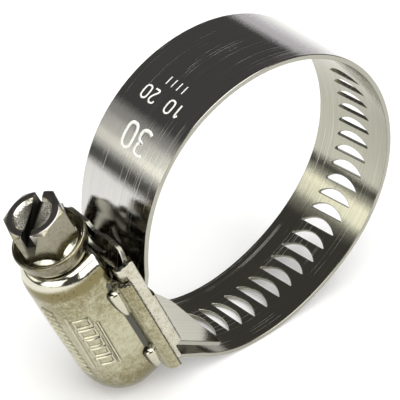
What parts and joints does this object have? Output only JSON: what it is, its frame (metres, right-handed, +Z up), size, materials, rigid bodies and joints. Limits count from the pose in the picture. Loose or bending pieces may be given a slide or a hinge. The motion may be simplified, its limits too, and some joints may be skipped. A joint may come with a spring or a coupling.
{
  "type": "hose clamp",
  "caption": "Worm-drive hose clamp: a slotted steel band bent into a ring, clinched in a domed housing with a slotted hexagon screw, standing on edge.",
  "frame": {"origin": "middle of the bounding box's bottom, where the clamp stands on its ring and its hood", "axes": "+Y along the hose axis, away from the side that the picture shows; +Z up; the housing is on the -X side with its screw head up"},
  "size_m": [0.0656, 0.02, 0.0509],
  "materials": {
    "band_steel": "bright rolled stainless strip, finely scratched along its length",
    "housing_steel": "satin pressed stainless sheet, warm and slightly stained",
    "saddle_steel": "satin pressed stainless sheet with rough cut edges",
    "screw_steel": "cold-formed steel, worn dark on the head"
  },
  "bodies": {
    "clamp": {"band": "band_steel", "housing": "housing_steel", "saddle": "saddle_steel"},
    "screw": {"screw": "screw_steel"}
  },
  "joints": [
    {"name": "screw_spin", "type": "hinge", "parent": "clamp", "child": "screw", "pos_m": [-0.02012, 0, 0.01527], "axis": [-0.3461, 0, 0.9382], "continuous": true, "deforming": ["band"]}
  ]
}
